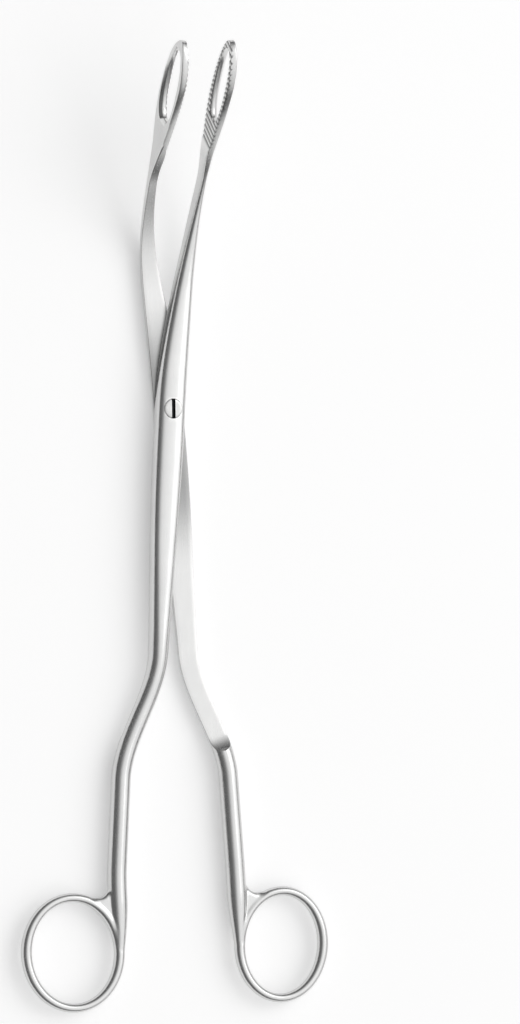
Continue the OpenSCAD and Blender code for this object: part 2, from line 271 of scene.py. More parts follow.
def rolled(rings: Sequence[Ring], closed: bool) -> bmesh.types.BMesh:
    """Rolls a flat grid into a skin that runs through rings of points.

    Args:
        rings: One list of points per station, all of one length.
        closed: True where the last ring meets the first, as round a finger ring.

    Returns:
        The closed skin, with its faces outwards.
    """
    rows = list(rings) + list(rings[:1]) * closed
    columns = len(rings[0])
    skin = bmesh.new()
    bmesh.ops.create_grid(skin, x_segments=columns, y_segments=len(rows) - 1, size=0.5)
    for vert in skin.verts:
        column = round((vert.co.x + 0.5) * columns) % columns
        row = round((vert.co.y + 0.5) * (len(rows) - 1))
        vert.co = rows[row][column]
    bmesh.ops.remove_doubles(skin, verts=skin.verts, dist=1e-5)
    ends = [edge for edge in skin.edges if edge.is_boundary]
    if ends:
        bmesh.ops.holes_fill(skin, edges=ends, sides=0)
    bmesh.ops.recalc_face_normals(skin, faces=skin.faces)
    return skin


def prism(outline: Sequence[Vector], along: Vector) -> bmesh.types.BMesh:
    """Extrudes a flat outline into a prism.

    Args:
        outline: The corners of the outline, in order.
        along: The way and the length of the extrusion.

    Returns:
        The closed prism, with its faces outwards.
    """
    solid = bmesh.new()
    face = solid.faces.new([solid.verts.new(point) for point in outline])
    made = bmesh.ops.extrude_face_region(solid, geom=[face])["geom"]
    moved = [item for item in made if isinstance(item, bmesh.types.BMVert)]
    bmesh.ops.translate(solid, verts=moved, vec=along)
    bmesh.ops.recalc_face_normals(solid, faces=solid.faces)
    return solid


def turned(profile: Sequence[tuple[float, float]], segments: int = 96) -> bmesh.types.BMesh:
    """Turns a profile about the Z axis, as on a lathe.

    Args:
        profile: Radius and height of each point, from one end to the other.
        segments: Steps round the axis.

    Returns:
        The closed turned solid, with its faces outwards.
    """
    points = [(0.0, profile[0][1]), *profile, (0.0, profile[-1][1])]
    solid = bmesh.new()
    verts = [solid.verts.new((radius, 0, height)) for radius, height in points]
    edges = [solid.edges.new(pair) for pair in zip(verts, verts[1:])]
    bmesh.ops.spin(
        solid, geom=verts + edges, cent=(0, 0, 0), axis=(0, 0, 1), dvec=(0, 0, 0),
        angle=math.tau, steps=segments, use_merge=True, use_duplicate=False,
    )
    bmesh.ops.remove_doubles(solid, verts=solid.verts, dist=1e-4)
    bmesh.ops.recalc_face_normals(solid, faces=solid.faces)
    return solid


def as_object(solid: bmesh.types.BMesh, name: str) -> bpy.types.Object:
    """Turns a bmesh into an object of the scene and frees the bmesh.

    Args:
        solid: The finished bmesh.
        name: The object's name.

    Returns:
        The new object, at the origin.
    """
    mesh = bpy.data.meshes.new(name)
    solid.to_mesh(mesh)
    solid.free()
    made = bpy.data.objects.new(name, mesh)
    bpy.context.scene.collection.objects.link(made)
    return made


def join(base: bpy.types.Object, tool: bmesh.types.BMesh, how: Joining) -> None:
    """Adds a solid to an object or cuts it out of the object.

    Args:
        base: The object that is changed.
        tool: The second solid, which is used up.
        how: Whether the solid is added or cut out.
    """
    second = as_object(tool, "tool")
    modifier = base.modifiers.new("join", "BOOLEAN")
    modifier.operation = how.value
    modifier.solver = "EXACT"
    modifier.object = second
    graph = bpy.context.evaluated_depsgraph_get()
    result = bpy.data.meshes.new_from_object(base.evaluated_get(graph))
    base.modifiers.clear()
    old, base.data = base.data, result
    bpy.data.meshes.remove(old)
    bpy.data.meshes.remove(second.data)


def carried(solid: bmesh.types.BMesh, *steps: Matrix) -> bmesh.types.BMesh:
    """Moves a bmesh by the product of matrices and keeps its faces outwards.

    Args:
        solid: The bmesh to move.
        steps: The matrices, of which the last acts first.

    Returns:
        The same bmesh.
    """
    whole = Matrix.Identity(4)
    for step in steps:
        whole = whole @ step
    bmesh.ops.transform(solid, matrix=whole, verts=solid.verts)
    bmesh.ops.recalc_face_normals(solid, faces=solid.faces)
    return solid


def finished(
    made: bpy.types.Object,
    steel: bpy.types.Material,
    crease_deg: float,
    painted_shade: Callable[[Vector], float],
) -> None:
    """Brings a piece to metres, marks its creases, its painted shade and its sharp edges' wear
    and painted highlight, and gives it its steel.

    Args:
        made: The piece, still in millimetres.
        steel: The material that it is made of.
        crease_deg: Edges that turn more than this stay sharp.
        painted_shade: How much painted shade a point gets, from 0 to 1, most at a groove's
            bottom.
    """
    solid = bmesh.new()
    solid.from_mesh(made.data)
    bmesh.ops.remove_doubles(solid, verts=solid.verts, dist=MERGE_MM)
    bmesh.ops.dissolve_degenerate(solid, edges=solid.edges, dist=SLIVER_MM)
    dark, wear_and_highlight = (solid.verts.layers.float.new(name) for name in (PAINTED_SHADE, WEAR_AND_HIGHLIGHT))
    for vert in solid.verts:
        # Painted shade, from the piece's own rule
        vert[dark] = painted_shade(vert.co)
        # Wear with a painted highlight on sharp edges, none where the painted shade lies
        turn = max((edge.calc_face_angle_signed(0) for edge in vert.link_edges), default=0)
        share = (math.degrees(turn) - WEAR_AND_HIGHLIGHT_DEG[0]) / (WEAR_AND_HIGHLIGHT_DEG[1] - WEAR_AND_HIGHLIGHT_DEG[0])
        vert[wear_and_highlight] = (1 - vert[dark]) * min(1.0, max(0.0, share))
    bmesh.ops.scale(solid, verts=solid.verts, vec=(MM, MM, MM))
    for face in solid.faces:
        face.smooth = True
        face.material_index = 0
    for edge in solid.edges:
        edge.smooth = edge.calc_face_angle(math.pi) < math.radians(crease_deg)
    solid.to_mesh(made.data)
    solid.free()
    made.data.materials.clear()
    made.data.materials.append(steel)


@dataclass(frozen=True)
class MiddleSurface:
    """The surface between the two arms: level at the pivot, then curved up to the jaws."""

    start: float = 33.5
    radius: float = 63.5
    end_deg: float = 36.0
    height: float = 4.0

    def lean(self, s: float) -> float:
        """The lean at the distance s along the surface, in radians."""
        return max(0.0, min(math.radians(self.end_deg), (s - self.start) / self.radius))

    def past(self, s: float) -> float:
        """How far s lies past the end of the curve."""
        return max(0.0, s - self.start - self.radius * math.radians(self.end_deg))

    def point(self, x: float, s: float, n: float) -> Vector:
        """Finds a point from its place on the surface.

        Args:
            x: Distance across, from the middle.
            s: Distance along, from the pivot.
            n: Distance above the surface.

        Returns:
            The point in space.
        """
        lean = self.lean(s)
        end = math.radians(self.end_deg)
        along = min(s, self.start) + self.radius * math.sin(lean)
        along += self.past(s) * math.cos(end) - n * math.sin(lean)
        up = self.height + self.radius * (1 - math.cos(lean))
        up += self.past(s) * math.sin(end) + n * math.cos(lean)
        return Vector((x, along, up))


@dataclass
class FingerRing:
    """A closed oval finger ring of round wire, and the web in its corner with the shank."""

    hole_w: float
    hole_l: float
    lean_deg: float = 8.0
    wire_side: float = 3.2
    wire_end: float = 2.7
    wire_t: float = 3.6
    throat_r: float = 3.6
    web_depth: float = 8.0
    web_inset: float = 0.3
    web_overlap_deg: float = 3.0
    web_steps: int = 48
    nose_steps: int = 20
    core_points: int = 96
    steps: int = 168
    points: int = 36

    def out(self, angle: float, a: float, b: float) -> Vector:
        """The direction square to an ellipse with the half axes a and b."""
        return Vector((math.cos(angle) / a, math.sin(angle) / b, 0)).normalized()

    def wire(self) -> bmesh.types.BMesh:
        """Bends the wire of the ring round the oval hole.

        Returns:
            The closed loop of wire round its own centre.
        """
        a, b = self.hole_w / 2, self.hole_l / 2
        rings: list[Ring] = []
        for step in range(self.steps):
            angle = math.tau * step / self.steps
            out = self.out(angle, a, b)
            wide = self.wire_end + (self.wire_side - self.wire_end) * math.cos(angle) ** 2
            centre = Vector((a * math.cos(angle), b * math.sin(angle), 0)) + out * wide / 2
            turns = [math.tau * p / self.points for p in range(self.points)]
            rings.append([
                centre + out * (wide / 2 * math.cos(turn))
                + Vector((0, 0, -self.wire_t / 2 * math.sin(turn)))
                for turn in turns
            ])
        loop = rolled(rings, closed=True)
        return carried(loop, Matrix.Rotation(math.radians(self.lean_deg), 4, "Z"))

    def web(self, edge_x: float, shank_d: float) -> bmesh.types.BMesh:
        """Spins the rounded web that fills the corner between ring and shank.

        Args:
            edge_x: How far out the shank's edge lies from the ring's centre.
            shank_d: Diameter of the shank.

        Returns:
            The web, whose ends and back lie inside the ring and the shank.
        """
        a, b = self.hole_w / 2 + self.wire_side, self.hole_l / 2 + self.wire_end
        # The throat touches ring and shank where the angle's two bounds close in
        low, high = math.radians(20), math.radians(90)
        for _ in range(30):
            angle = (low + high) / 2
            x = a * math.cos(angle) + self.throat_r * self.out(angle, a, b).x
            low, high = (angle, high) if x > edge_x - self.throat_r else (low, angle)
        out = self.out(angle, a, b)
        centre = Vector((a * math.cos(angle), b * math.sin(angle), 0)) + out * self.throat_r
        nose = self.wire_t / 2 - self.web_inset
        first = math.atan2(-out.y, -out.x) - math.radians(self.web_overlap_deg)
        last = math.radians(self.web_overlap_deg)
        profile = [
            Vector((self.throat_r + nose - nose * math.cos(t), 0, nose * math.sin(t)))
            for t in [
                math.radians(-90 + 180 * i / self.nose_steps)
                for i in range(self.nose_steps + 1)
            ]
        ]
        back = self.throat_r + self.web_depth
        profile += [Vector((back, 0, nose)), Vector((back, 0, -nose))]
        web = bmesh.new()
        web.faces.new([web.verts.new(point) for point in profile])
        bmesh.ops.transform(web, matrix=Matrix.Rotation(first, 4, "Z"), verts=web.verts)
        bmesh.ops.spin(
            web, geom=web.faces[:] + web.edges[:] + web.verts[:], cent=(0, 0, 0),
            axis=(0, 0, 1), dvec=(0, 0, 0), angle=last - first,
            steps=self.web_steps, use_merge=False, use_duplicate=False,
        )
        bmesh.ops.remove_doubles(web, verts=web.verts, dist=1e-4)
        made = as_object(carried(web, Matrix.Translation(centre)), "web")
        turns = [math.tau * i / self.core_points for i in range(self.core_points)]
        core = [
            Vector((
                (a - self.wire_side / 2) * math.cos(t),
                (b - self.wire_end / 2) * math.sin(t),
                -2 * self.wire_t,
            ))
            for t in turns
        ]
        join(made, prism(core, Vector((0, 0, 4 * self.wire_t))), Joining.CUT)
        block = bmesh.new()
        bmesh.ops.create_cube(block, size=1.0)
        far = Vector((edge_x + shank_d / 3 + self.web_depth, b, 0))
        size = Matrix.Diagonal((2 * self.web_depth, 3 * b, 4 * self.wire_t, 1.0))
        join(made, carried(block, Matrix.Translation(far), size), Joining.CUT)
        trimmed = bmesh.new()
        trimmed.from_mesh(made.data)
        bpy.data.meshes.remove(made.data)
        return trimmed


@dataclass(frozen=True)
class PivotScrew:
    """The slotted screw, turned from bar, with its end ground flush in the rear arm."""

    head_d: float = 5.5
    body_d: float = 3.6
    rim: float = 0.6
    cone: float = 0.9
    proud: float = 0.2
    top: float = 8.0
    clear: float = 0.03
    slot_w: float = 1.1
    slot_depth: float = 0.8
    edge: float = 0.06
    crown_run: float = 0.8
    crown_steps: int = 8
    near: float = 0.1

    def body(self) -> bmesh.types.BMesh:
        """Turns the screw, with broken edges and a crowned head."""
        head, crown = self.head_d / 2, self.top + self.proud
        turns = [math.radians(90 * i / self.crown_steps) for i in range(self.crown_steps + 1)]
        dome = [
            (
                head - self.crown_run * (1 - math.cos(t)) - 0.05,
                self.top + self.proud * math.sin(t),
            )
            for t in turns
        ]
        return turned([
            (self.body_d / 2 - self.edge, 0.0),
            (self.body_d / 2, self.edge),
            (self.body_d / 2, self.top - self.rim - self.cone),
            (head, self.top - self.rim),
            (head, self.top - self.edge),
            *dome,
            (head * 0.4, crown),
        ])

    def slot(self) -> bmesh.types.BMesh:
        """The cutter of the driver slot."""
        cutter = bmesh.new()
        bmesh.ops.create_cube(cutter, size=1.0)
        middle = self.top + self.proud - self.slot_depth + 1.0
        return carried(
            cutter,
            Matrix.Translation((0, 0, middle)),
            Matrix.Diagonal((self.slot_w, 2 * self.head_d, 2.0, 1.0)),
        )

    def painted_shade(self, point: Vector) -> float:
        """How much painted shade a point gets in the driver slot, from 0 to 1."""
        depth = self.top + self.proud - point.z
        in_slot = abs(point.x) < self.slot_w / 2 + self.near / 10
        # Painted shade on the slot's floor and walls below its rim
        return float(in_slot and self.near < depth < self.slot_depth + self.near)

    def build(self, steel: bpy.types.Material) -> bpy.types.Object:
        """Builds the screw and puts it in its node's place.

        Args:
            steel: The material of the screw.

        Returns:
            The finished piece.
        """
        made = as_object(self.body(), "pivot_screw_turned")
        join(made, self.slot(), Joining.CUT)
        finished(made, steel, 28, self.painted_shade)
        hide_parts("pivot_screw")
        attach(made, "rear_half")
        LOG.info("%s: %d faces", made.name, len(made.data.polygons))
        return made


@dataclass
class Arm:
    """One forged arm: finger ring, round shank, flat half of the lap joint and toothed jaw."""

    side: Side
    body: str
    node: str
    ring: FingerRing
    handle_reach: float
    tooth_shift: float
    surface: MiddleSurface = field(default_factory=MiddleSurface)
    screw: PivotScrew = field(default_factory=PivotScrew)
    jaw_reach: float = 116.0
    joint_w: float = 8.9
    joint_t: float = 4.0
    joint_tail: float = 62.0
    thin_len: float = 24.0
    ride_gap: float = 0.04
    curve_relief: float = 0.3
    relief_len: float = 18.0
    shank_d: float = 5.7
    handle_out: float = 9.7
    tail_out: float = 0.3
    tail_swing: float = 40.0
    bend_start: float = 70.5
    bend_end: float = 107.0
    flat_end: float = 93.5
    runout_r: float = 7.0
    ring_out: float = 22.0
    neck_w: float = 2.4
    neck_top: float = 2.7
    neck_low: float = 1.0
    bow: float = 3.8
    round_start: float = 37.0
    flat_start: float = 42.0
    neck_at: float = 5.0
    toe_in_deg: float = 2.8
    jaw_t: float = 2.2
    tip_t: float = 1.3
    tip_thinning: float = 8.0
    jaw_top: float = 7.8
    jaw_low: float = 5.7
    jaw_len: float = 48.5
    rise_len: float = 37.0
    fall_len: float = 28.0
    flatten_len: float = 25.0
    line_up_len: float = 13.0
    tip_up: float = 13.5
    tip_low: float = 20.0
    tip_square: float = 1.9
    window_len: float = 24.0
    window_h: float = 9.1
    tip_rim: float = 3.1
    window_bevel: float = 0.8
    tooth_pitch: float = 1.6
    tooth_h: float = 0.45
    tooth_len: float = 37.0
    bite_gap: float = 0.06
    face_stock: float = 0.2
    rest_open_deg: float = 7.2
    joint_square: float = 3.2
    neck_square: float = 2.3
    jaw_square: float = 7.0
    edge_round: float = 0.22
    jaw_edge_round: float = 0.7
    hole_edge: float = 0.12
    window_soft: float = 0.15
    window_points: int = 96
    # Painted shadow on the rear arm's lap face: its darkness, its middle, and where it starts
    # and ends fading
    lap_shade: float = 0.55
    shade_middle: float = -7.0
    shade_full: float = 15.0
    shade_end: float = 40.0
    die_round: float = 1.0
    die_crease_deg: float = 12.0
    ring_end: float = 24.0
    arc_points: int = 56
    spare: float = 1.0
    throat_at: float = 18.1
    ring_swing: float = 26.0
    ring_thinning: float = 16.0
    square_from: float = 12.0
    round_from: float = 30.0
    plate_len: float = 15.0

    def __post_init__(self) -> None:
        """Works out the sizes that follow from the others."""
        self.rear = self.side is Side.REAR
        self.jaw_start = self.jaw_reach - self.jaw_len
        self.bow_end = self.jaw_start - self.tip_rim
        self.tip_start = self.jaw_reach - max(self.tip_up, self.tip_low)
        self.window_at = self.jaw_reach - self.tip_rim - self.window_len / 2
        self.jaw_mid = (self.jaw_top - self.jaw_low) / 2
        self.mesh_in = (self.tooth_h - self.bite_gap) / 2
        self.face_in = self.mesh_in + self.face_stock
        self.jaw_half = (self.jaw_t + self.face_in) / 2
        self.ring_x = self.ring_out - self.ring.hole_w / 2 - self.ring.wire_side / 2

    def face_x(self, s: float) -> float:
        """How far the leaning jaw face stands out from the middle."""
        return (self.jaw_reach - s) * math.tan(math.radians(self.toe_in_deg))

    def thinned(self, s: float) -> float:
        """How far the jaw's plate has thinned down to its tip, from 0 to 1."""
        t = max(0.0, s - self.jaw_reach + self.tip_thinning) / self.tip_thinning
        return 1 - math.sqrt(max(0.0, 1 - t * t))

    def half_width(self, s: float) -> float:
        """Half of the arm's width at the distance s."""
        if s >= 0:
            thin_at, flat_at = self.jaw_start + self.neck_at, self.jaw_start + self.flatten_len
            half = ease(s, 0, thin_at, self.joint_w / 2, self.neck_w / 2)
            half += ease(s, thin_at, flat_at, 0, self.jaw_half - self.neck_w / 2)
            return half - (self.jaw_t - self.tip_t) / 2 * self.thinned(s)
        reach, wire = self.handle_reach, self.ring
        narrower = (self.shank_d - wire.wire_side) / 2 + self.face_stock
        half = ease(
            -s, self.joint_w, self.bend_start + self.square_from, self.joint_w / 2,
            self.shank_d / 2,
        )
        return half - ease(-s, reach - self.ring_thinning, reach + wire.wire_end, 0, narrower)

    def centre_x(self, s: float) -> float:
        """How far the closed arm's centre line lies towards its own jaw's side."""
        if s >= 0:
            share = ease(s, self.bow_end, self.jaw_start + self.line_up_len, 0, 1)
            jaw = self.face_x(s) + self.half_width(s) - self.face_in
            return ease(s, 0, self.bow_end, 0, self.bow) * (1 - share) + jaw * share
        reach = self.handle_reach
        out = ease(-s, reach - self.ring_swing, reach, 0, self.handle_out - self.ring_x)
        out -= ease(-s, 0, self.tail_swing, 0, self.tail_out)
        return out - ease(
            -s, self.bend_start, self.bend_end, 0, self.handle_out - self.tail_out
        )

    def half_gap(self, s: float) -> float:
        """Half of the gap between the two arms."""
        start = self.surface.start - 4
        opened = ease(s, start, start + self.relief_len, 0, self.curve_relief / 2)
        return self.ride_gap / 2 + opened

    def squareness(self, s: float) -> float:
        """Squareness of the section: 2 is an ellipse, more is squarer."""
        if s >= 0:
            neck = ease(s, self.square_from, self.bow_end, self.joint_square, self.neck_square)
            more = self.jaw_square - self.neck_square
            return neck + ease(s, self.jaw_start, self.jaw_start + self.plate_len, 0, more)
        return ease(
            -s, self.round_from, self.bend_start + self.square_from, self.joint_square, 2
        )

    def thickness(self, s: float) -> float:
        """Thickness of the arm behind the pivot, on its side of the middle surface."""
        reach, wire = self.handle_reach, self.ring
        thinner = (self.shank_d - wire.wire_t) / 2 + self.face_stock
        thin_at = self.bend_start + self.thin_len
        full = ease(-s, self.joint_tail, thin_at, self.joint_t, self.shank_d / 2)
        return full - ease(-s, reach - self.ring_thinning, reach + wire.wire_end, 0, thinner)

    def runout(self, s: float) -> float:
        """How far the milled flat has run out behind the pivot."""
        deep = min(self.runout_r, max(0.0, -s - self.flat_end))
        return self.runout_r - math.sqrt(self.runout_r**2 - deep**2)

    def tipped(self, s: float, edge: float, length: float) -> float:
        """Draws an edge of the jaw in over the length of its rounded tip."""
        t = max(0.0, (s - self.jaw_reach + length) / length)
        left = max(0.0, 1 - t**self.tip_square) ** (1 / self.tip_square)
        return self.jaw_mid + (edge - self.jaw_mid) * left

    def upper_edge(self, s: float, joint: float, start: float) -> float:
        """The upper edge in front of the pivot, from where it leaves the joint."""
        edge = ease(s, start, self.jaw_start, joint, self.neck_top)
        rise = self.jaw_top - self.neck_top
        edge += ease(s, self.jaw_start, self.jaw_start + self.rise_len, 0, rise)
        return self.tipped(s, edge, self.tip_up)

    def lower_edge(self, s: float, joint: float, start: float) -> float:
        """The lower edge in front of the pivot, from where it leaves the joint."""
        edge = ease(s, start, self.jaw_start, joint, -self.neck_low)
        fall = self.jaw_low - self.neck_low
        edge -= ease(s, self.jaw_start, self.jaw_start + self.fall_len, 0, fall)
        return self.tipped(s, edge, self.tip_low)

    def flat_n(self, s: float) -> float:
        """Height of the milled side over the middle surface."""
        if s < 0:
            full = self.thickness(s) * 0.999
            return -self.side.value * min(self.runout(s) - self.half_gap(s), full)
        if self.rear:
            return self.upper_edge(s, -self.half_gap(s), self.flat_start)
        return self.lower_edge(s, self.half_gap(s), self.flat_start)

    def round_n(self, s: float) -> float:
        """Height of the round side over the middle surface."""
        if s < 0:
            return self.side.value * self.thickness(s)
        if self.rear:
            return self.lower_edge(s, -self.joint_t, self.round_start)
        return self.upper_edge(s, self.joint_t, self.round_start)

    def outline(self, s: float) -> list[tuple[float, float]]:
        """The section as a squared-off ellipse with one side cut flat.

        Args:
            s: Distance from the pivot.

        Returns:
            Points across and above the middle surface, round the whole section.
        """
        flat, height = self.flat_n(s), self.round_n(s) - self.flat_n(s)
        if s < 0:
            stands = -self.side.value * flat
            share = stands / (stands + self.thickness(s))
        else:
            share = ease(s, self.jaw_start, self.jaw_start + self.plate_len, 0, 0.999 / 1.999)
        power, half = self.squareness(s), self.half_width(s)
        cut = math.asin(min(1.0, max(-1.0, signed_power(share / (1 - share), power / 2))))
        arc = []
        for i in range(self.arc_points + 1):
            t = math.pi - cut + (math.pi + 2 * cut) * i / self.arc_points
            across = half * signed_power(math.cos(t), 2 / power)
            arc.append((
                across,
                flat + height * share
                - height * (1 - share) * signed_power(math.sin(t), 2 / power),
            ))
        return self.eased_corners(arc, s)

    def eased_corners(
        self, arc: list[tuple[float, float]], s: float
    ) -> list[tuple[float, float]]:
        """Rounds the two corners where the arc meets the flat, most of all along the jaw.

        Args:
            arc: Points from one corner round to the other.
            s: Distance from the pivot.

        Returns:
            The closed outline, with the same number of points at every station.
        """
        points = [Vector(p) for p in arc]
        flat = points[0] - points[-1]
        heel = self.jaw_reach - self.tooth_len
        size = min(
            ease(s, heel - 3, heel + 3, self.edge_round, self.jaw_edge_round), 0.35 * flat.length
        )
        along = flat.normalized() if flat.length > 1e-6 else Vector((0, 0))
        first, last = points[0], points[-1]

        def moved(run: list[Vector]) -> list[Vector]:
            """Slides the first points of a run to one edge's rounding from the corner."""
            left, at = size, 0
            while at + 2 < len(run) and (run[at + 1] - run[at]).length < left:
                left -= (run[at + 1] - run[at]).length
                at += 1
            step = run[at + 1] - run[at]
            start = run[at] + step * (left / step.length if step.length > 1e-9 else 0)
            rest = run[at + 1 :]
            lead = [start.lerp(rest[0], k / (at + 1)) for k in range(at + 1)]
            return lead + rest

        body = moved(points)
        body = moved(body[::-1])[::-1]
        curve_in = [
            self.bend(first - along * size, first, body[0], k / 4) for k in range(4)
        ]
        curve_out = [
            self.bend(body[-1], last, last + along * size, k / 4) for k in range(1, 5)
        ]
        strip = [(last + along * size).lerp(first - along * size, k / 6) for k in range(1, 6)]
        return [tuple(p) for p in curve_in + body + curve_out + strip]

    def bend(self, start: Vector, corner: Vector, end: Vector, t: float) -> Vector:
        """A point of the curve that leaves the corner out between start and end."""
        return start * (1 - t) ** 2 + corner * (2 * t * (1 - t)) + end * t**2

    def section(self, s: float) -> Ring:
        """The ring of points of the arm at the distance s from the pivot."""
        turn = math.atan(self.centre_x(s + 0.5) - self.centre_x(s - 0.5))
        return [
            self.surface.point(
                self.side.value * (self.centre_x(s) + across * math.cos(turn)),
                s - across * math.sin(turn),
                n,
            )
            for across, n in self.outline(s)
        ]

    def stations(self) -> list[float]:
        """Distances of the sections, close together where the form turns fast."""
        stops = [
            (-self.handle_reach - 3, -self.handle_reach + self.ring_end, 0.5),
            (-self.handle_reach + self.ring_end, -self.flat_end - 8, 1.0),
            (-self.flat_end - 8, -self.flat_end + 1, 0.25),
            (-self.flat_end + 1, -self.bend_start, 0.8),
            (-self.bend_start, self.surface.start, 2.0),
            (self.surface.start, self.jaw_start, 1.0),
            (self.jaw_start, self.tip_start, 0.8),
        ]
        places = []
        for start, end, step in stops:
            count = math.ceil((end - start) / step)
            places += [start + (end - start) * i / count for i in range(count)]
        tip = self.jaw_reach - self.tip_start
        return places + [
            self.tip_start + tip * 0.9995 * math.sin(math.radians(90 * i / 30))
            for i in range(31)
        ]

    def bar(self) -> bmesh.types.BMesh:
        """Rolls the forged and milled bar, from its ring to its jaw."""
        return rolled([self.section(s) for s in self.stations()], closed=False)

    def jaw_frame(self) -> Matrix:
        """The frame of the jaw: X out of its face, Y towards the tip, Z up its height."""
        there = self.surface.point(0, self.window_at, 0)
        tip = Vector((0, self.jaw_reach - self.window_at, 0))
        mirror = Matrix.Scale(self.side.value, 4, (1, 0, 0))
        return (
            mirror
            @ Matrix.Translation(there)
            @ Matrix.Rotation(self.surface.lean(self.window_at), 4, "X")
            @ Matrix.Translation(tip)
            @ Matrix.Rotation(math.radians(self.toe_in_deg), 4, "Z")
            @ Matrix.Translation(-tip)
        )

    def tooth_comb(self) -> bmesh.types.BMesh:
        """The cutter of the jaw's face: ridges across the jaw that mesh with the other's."""
        tip = self.jaw_reach - self.window_at
        first = tip + self.spare - self.tooth_shift * self.tooth_pitch
        count = 2 * math.floor((self.tooth_len + self.spare) / self.tooth_pitch)
        past = tip + 2 * self.spare + self.tooth_pitch
        back = self.jaw_start - self.window_at
        down = -1.5 * self.jaw_top
        outline = [Vector((-self.jaw_t, past, down)), Vector((-self.mesh_in, past, down))]
        outline += [
            Vector((i % 2 * self.tooth_h - self.mesh_in, first - i * self.tooth_pitch / 2, down))
            for i in range(count + 1)
        ]
        outline += [Vector((-self.mesh_in, back, down)), Vector((-self.jaw_t, back, down))]
        return prism(outline, Vector((0, 0, 3 * self.jaw_top)))

    def window_plug(self) -> bmesh.types.BMesh:
        """The cutter of the window, wider towards both faces to leave a bevel."""
        slope = self.window_bevel + self.spare
        soft = self.window_soft
        inner = self.tooth_h - self.mesh_in
        layers = [
            (-self.spare, self.spare + inner),
            (inner - soft, soft),
            (inner, soft * 0.35),
            (inner + soft, 0.0),
            (self.jaw_t - self.window_bevel - soft, 0.0),
            (self.jaw_t - self.window_bevel, soft * 0.35),
            (self.jaw_t - self.window_bevel + soft, soft),
            (self.jaw_t + self.spare, slope),
        ]
        rings = []
        for x, margin in layers:
            long, high = self.window_len / 2 + margin, self.window_h / 2 + margin
            turns = [
                math.tau * i / self.window_points for i in range(self.window_points)
            ]
            rings.append([
                Vector((
                    x,
                    long * signed_power(math.cos(t), 2 / 2.5),
                    high * signed_power(math.sin(t), 2 / 2.5) + self.jaw_mid,
                ))
                for t in turns
            ])
        return rolled(rings, closed=False)

    def painted_shade(self, point: Vector, in_jaw: Vector) -> float:
        """How much painted shade a point gets: between the teeth and round the lap joint.

        Args:
            point: The point with the arm closed.
            in_jaw: The same point in the frame of the jaw.

        Returns:
            From 0 for no painted shade to 1 for the bottom of a groove.
        """
        heel = self.jaw_reach - self.tooth_len - self.window_at
        # Painted shade in the grooves between the teeth
        if in_jaw.y > heel and in_jaw.x < self.jaw_t:
            first = self.jaw_reach - self.window_at + self.spare
            phase = (first - self.tooth_shift * self.tooth_pitch - in_jaw.y) / self.tooth_pitch
            deep = 1 - abs((2 * phase) % 2 - 1)
            off = abs(in_jaw.x - (deep * self.tooth_h - self.mesh_in))
            return max(0.0, min(1.0, deep * 1.15 - 0.1)) if off < 0.04 else 0.0
        # Painted shadow of the front arm on the rear arm's lap face, round the crossing
        if self.rear and point.z > self.joint_t - 0.4:
            off = abs(point.y - self.shade_middle)
            return ease(off, self.shade_full, self.shade_end, self.lap_shade, 0)
        return 0.0

    def soften_corner(self, made: bpy.types.Object) -> None:
        """Blends the creases between shank, web and ring, as the forging die leaves them.

        Args:
            made: The arm, closed and still in millimetres.
        """
        solid = bmesh.new()
        solid.from_mesh(made.data)
        line = -self.handle_reach + self.ring_end
        creases = [
            edge for edge in solid.edges
            if edge.verts[0].co.y < line and len(edge.link_faces) == 2
            and edge.calc_face_angle_signed(0) < -math.radians(self.die_crease_deg)
        ]
        points = [
            edge.verts[0].co.lerp(edge.verts[1].co, share)
            for edge in creases for share in (0.0, 0.5, 1.0)
        ]
        tree = KDTree(len(points))
        for number, point in enumerate(points):
            tree.insert(point, number)
        tree.balance()

        def off(point: Vector) -> float:
            """How far a point lies from the nearest crease."""
            return tree.find(point)[2]

        for _ in range(4):
            near = [
                face for face in solid.faces
                if face.calc_center_median().y < line
                and (off(face.calc_center_median()) < 2 * self.die_round
                     or min(off(vert.co) for vert in face.verts) < self.die_round)
            ]
            near = bmesh.ops.triangulate(solid, faces=near)["faces"]
            long = {
                edge for face in near for edge in face.edges
                if edge.calc_length() > self.die_round / 3
            }
            bmesh.ops.subdivide_edges(solid, edges=list(long), cuts=1)
        loose = [face for face in solid.faces if len(face.verts) > 4]
        bmesh.ops.triangulate(solid, faces=loose)
        for reach in (self.die_round, self.die_round * 0.8, self.die_round * 0.6):
            near = [vert for vert in solid.verts if vert.co.y < line and off(vert.co) < reach]
            for _ in range(6):
                bmesh.ops.smooth_vert(
                    solid, verts=near, factor=0.5, use_axis_x=True, use_axis_y=True,
                    use_axis_z=True,
                )
        solid.to_mesh(made.data)
        solid.free()

    def screw_hole(self) -> bmesh.types.BMesh:
        """The hole of the screw: threaded through the rear arm, stepped in the front arm."""
        screw = self.screw
        if self.rear:
            radius = screw.body_d / 2
            return turned([(radius, -self.spare), (radius, self.joint_t + self.spare)])
        return turned([
            (screw.body_d / 2 + screw.clear, self.joint_t - self.spare),
            (screw.body_d / 2 + screw.clear, screw.top - screw.rim - screw.cone),
            (screw.head_d / 2 + screw.clear, screw.top - screw.rim),
            (screw.head_d / 2 + screw.clear, screw.top - self.hole_edge),
            (screw.head_d / 2 + screw.clear + self.hole_edge, screw.top),
            (
                screw.head_d / 2 + screw.clear + self.hole_edge + self.spare,
                screw.top + self.spare,
            ),
        ])

